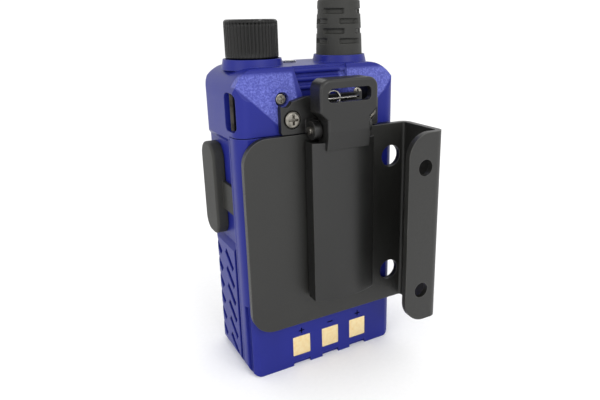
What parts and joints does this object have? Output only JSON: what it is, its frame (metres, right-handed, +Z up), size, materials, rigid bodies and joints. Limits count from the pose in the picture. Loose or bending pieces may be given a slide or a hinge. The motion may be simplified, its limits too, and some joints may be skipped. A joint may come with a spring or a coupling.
{
  "type": "two-way radio",
  "caption": "Handheld two-way radio with keypad, volume knob, antenna, battery and belt clip, hung by the clip on a folded sheet-metal mounting bracket.",
  "frame": {"origin": "middle of the base that the radio stands on", "axes": "+Z up towards the antenna, +Y to the back with the clip, +X to the side with the volume knob and the jack cover"},
  "size_m": [0.0643, 0.0546, 0.2636],
  "materials": {
    "blue_abs": "moulded ABS, fine spark texture",
    "black_abs": "moulded black plastic",
    "black_rubber": "moulded rubber",
    "clear_acrylic": "clear polished acrylic",
    "display_glass": "display glass",
    "circuit_board": "solder mask",
    "diecast": "die-cast aluminium",
    "steel": "bright zinc-plated steel",
    "gold": "gold-plated contacts",
    "powder_coat": "fine-textured black powder coat on sheet steel",
    "cell_wrap": "cell wrap",
    "orange_silicone": "coloured silicone key",
    "key_silicone": "black silicone key"
  },
  "bodies": {
    "radio": {"front_case": "blue_abs", "chassis": "diecast", "main_board": "circuit_board", "keypad_membrane": "key_silicone", "display_window": "clear_acrylic", "display_module": "display_glass", "speaker": "black_abs", "microphone": "steel", "volume_control": "steel", "antenna_socket": "gold", "torch_lens": "clear_acrylic", "torch_lamp": "clear_acrylic", "status_light": "clear_acrylic", "jack_block": "black_abs", "side_switches": "circuit_board", "battery_springs": "gold", "strap_bar": "steel", "clip_base": "black_abs", "clip_pin": "steel", "clip_spring": "steel", "clip_screws": "steel", "case_screws": "steel"},
    "knob": {"volume_shaft": "steel", "volume_knob": "black_abs"},
    "antenna": {"antenna_connector": "gold", "antenna_base": "black_rubber", "antenna_whip": "black_rubber"},
    "jack_cover": {"jack_cover": "black_rubber"},
    "battery": {"battery_case": "blue_abs", "battery_inner_shell": "black_abs", "battery_cells": "cell_wrap", "battery_board": "circuit_board", "battery_terminals": "gold", "charge_contacts": "gold", "latch_spring": "steel"},
    "battery_latch": {"battery_latch": "black_abs"},
    "clip_lever": {"clip_lever": "black_abs"},
    "mount_bracket": {"mount_bracket": "powder_coat"},
    "mode_key": {"mode_key": "orange_silicone"},
    "band_key": {"band_key": "key_silicone"},
    "call_key": {"call_key": "orange_silicone"},
    "talk_key": {"talk_key": "black_rubber"},
    "monitor_key": {"monitor_key": "black_rubber"},
    "keypad_key_01": {"keypad_key_01": "key_silicone"},
    "keypad_key_02": {"keypad_key_02": "key_silicone"},
    "keypad_key_03": {"keypad_key_03": "key_silicone"},
    "keypad_key_04": {"keypad_key_04": "key_silicone"},
    "keypad_key_05": {"keypad_key_05": "key_silicone"},
    "keypad_key_06": {"keypad_key_06": "key_silicone"},
    "keypad_key_07": {"keypad_key_07": "key_silicone"},
    "keypad_key_08": {"keypad_key_08": "key_silicone"},
    "keypad_key_09": {"keypad_key_09": "key_silicone"},
    "keypad_key_10": {"keypad_key_10": "key_silicone"},
    "keypad_key_11": {"keypad_key_11": "key_silicone"},
    "keypad_key_12": {"keypad_key_12": "key_silicone"},
    "keypad_key_13": {"keypad_key_13": "key_silicone"},
    "keypad_key_14": {"keypad_key_14": "key_silicone"},
    "keypad_key_15": {"keypad_key_15": "key_silicone"},
    "keypad_key_16": {"keypad_key_16": "key_silicone"}
  },
  "joints": [
    {"name": "volume_turn", "type": "hinge", "parent": "radio", "child": "knob", "pos_m": [0.0164, 0, 0.1056], "axis": [0, 0, -1], "range_deg": [0, 280]},
    {"name": "antenna_lift", "type": "slide", "parent": "radio", "child": "antenna", "axis": [0, 0, 1], "range_m": [0, 0.012]},
    {"name": "jack_cover_swing", "type": "hinge", "parent": "radio", "child": "jack_cover", "pos_m": [0.0279, 0.0069, 0.062], "axis": [0, 0, 1], "range_deg": [0, 100], "stiffness_Nm_per_rad": 0.002, "springref_deg": -5.73},
    {"name": "battery_slide", "type": "slide", "parent": "radio", "child": "battery", "axis": [0, 0, 1], "range_m": [-0.086, 0]},
    {"name": "battery_latch_press", "type": "slide", "parent": "battery", "child": "battery_latch", "axis": [0, -1, 0], "range_m": [0, 0.0012], "stiffness_N_per_m": 1500, "springref_m": -0.0008},
    {"name": "clip_open", "type": "hinge", "parent": "radio", "child": "clip_lever", "pos_m": [-0.0033, 0.0216, 0.0854], "axis": [1, 0, 0], "range_deg": [0, 12], "stiffness_Nm_per_rad": 0.6, "springref_deg": -8.59},
    {"name": "bracket_slide", "type": "slide", "parent": "radio", "child": "mount_bracket", "axis": [0, 0, 1], "range_m": [-0.068, 0]},
    {"name": "mode_key_press", "type": "slide", "parent": "radio", "child": "mode_key", "axis": [0, 1, 0], "range_m": [0, 0.0006], "stiffness_N_per_m": 1500, "springref_m": -0.0003},
    {"name": "band_key_press", "type": "slide", "parent": "radio", "child": "band_key", "axis": [0, 1, 0], "range_m": [0, 0.0006], "stiffness_N_per_m": 1500, "springref_m": -0.0003},
    {"name": "keypad_key_01_press", "type": "slide", "parent": "radio", "child": "keypad_key_01", "axis": [0, 1, 0], "range_m": [0, 0.0006], "stiffness_N_per_m": 1500, "springref_m": -0.0003},
    {"name": "keypad_key_02_press", "type": "slide", "parent": "radio", "child": "keypad_key_02", "axis": [0, 1, 0], "range_m": [0, 0.0006], "stiffness_N_per_m": 1500, "springref_m": -0.0003},
    {"name": "keypad_key_03_press", "type": "slide", "parent": "radio", "child": "keypad_key_03", "axis": [0, 1, 0], "range_m": [0, 0.0006], "stiffness_N_per_m": 1500, "springref_m": -0.0003},
    {"name": "keypad_key_04_press", "type": "slide", "parent": "radio", "child": "keypad_key_04", "axis": [0, 1, 0], "range_m": [0, 0.0006], "stiffness_N_per_m": 1500, "springref_m": -0.0003},
    {"name": "keypad_key_05_press", "type": "slide", "parent": "radio", "child": "keypad_key_05", "axis": [0, 1, 0], "range_m": [0, 0.0006], "stiffness_N_per_m": 1500, "springref_m": -0.0003},
    {"name": "keypad_key_06_press", "type": "slide", "parent": "radio", "child": "keypad_key_06", "axis": [0, 1, 0], "range_m": [0, 0.0006], "stiffness_N_per_m": 1500, "springref_m": -0.0003},
    {"name": "keypad_key_07_press", "type": "slide", "parent": "radio", "child": "keypad_key_07", "axis": [0, 1, 0], "range_m": [0, 0.0006], "stiffness_N_per_m": 1500, "springref_m": -0.0003},
    {"name": "keypad_key_08_press", "type": "slide", "parent": "radio", "child": "keypad_key_08", "axis": [0, 1, 0], "range_m": [0, 0.0006], "stiffness_N_per_m": 1500, "springref_m": -0.0003},
    {"name": "keypad_key_09_press", "type": "slide", "parent": "radio", "child": "keypad_key_09", "axis": [0, 1, 0], "range_m": [0, 0.0006], "stiffness_N_per_m": 1500, "springref_m": -0.0003},
    {"name": "keypad_key_10_press", "type": "slide", "parent": "radio", "child": "keypad_key_10", "axis": [0, 1, 0], "range_m": [0, 0.0006], "stiffness_N_per_m": 1500, "springref_m": -0.0003},
    {"name": "keypad_key_11_press", "type": "slide", "parent": "radio", "child": "keypad_key_11", "axis": [0, 1, 0], "range_m": [0, 0.0006], "stiffness_N_per_m": 1500, "springref_m": -0.0003},
    {"name": "keypad_key_12_press", "type": "slide", "parent": "radio", "child": "keypad_key_12", "axis": [0, 1, 0], "range_m": [0, 0.0006], "stiffness_N_per_m": 1500, "springref_m": -0.0003},
    {"name": "keypad_key_13_press", "type": "slide", "parent": "radio", "child": "keypad_key_13", "axis": [0, 1, 0], "range_m": [0, 0.0006], "stiffness_N_per_m": 1500, "springref_m": -0.0003},
    {"name": "keypad_key_14_press", "type": "slide", "parent": "radio", "child": "keypad_key_14", "axis": [0, 1, 0], "range_m": [0, 0.0006], "stiffness_N_per_m": 1500, "springref_m": -0.0003},
    {"name": "keypad_key_15_press", "type": "slide", "parent": "radio", "child": "keypad_key_15", "axis": [0, 1, 0], "range_m": [0, 0.0006], "stiffness_N_per_m": 1500, "springref_m": -0.0003},
    {"name": "keypad_key_16_press", "type": "slide", "parent": "radio", "child": "keypad_key_16", "axis": [0, 1, 0], "range_m": [0, 0.0006], "stiffness_N_per_m": 1500, "springref_m": -0.0003},
    {"name": "call_key_press", "type": "slide", "parent": "radio", "child": "call_key", "axis": [1, 0, 0], "range_m": [0, 0.0005], "stiffness_N_per_m": 2500, "springref_m": -0.0003},
    {"name": "talk_key_press", "type": "slide", "parent": "radio", "child": "talk_key", "axis": [1, 0, 0], "range_m": [0, 0.0007], "stiffness_N_per_m": 2500, "springref_m": -0.0003},
    {"name": "monitor_key_press", "type": "slide", "parent": "radio", "child": "monitor_key", "axis": [1, 0, 0], "range_m": [0, 0.0005], "stiffness_N_per_m": 2500, "springref_m": -0.0003}
  ]
}
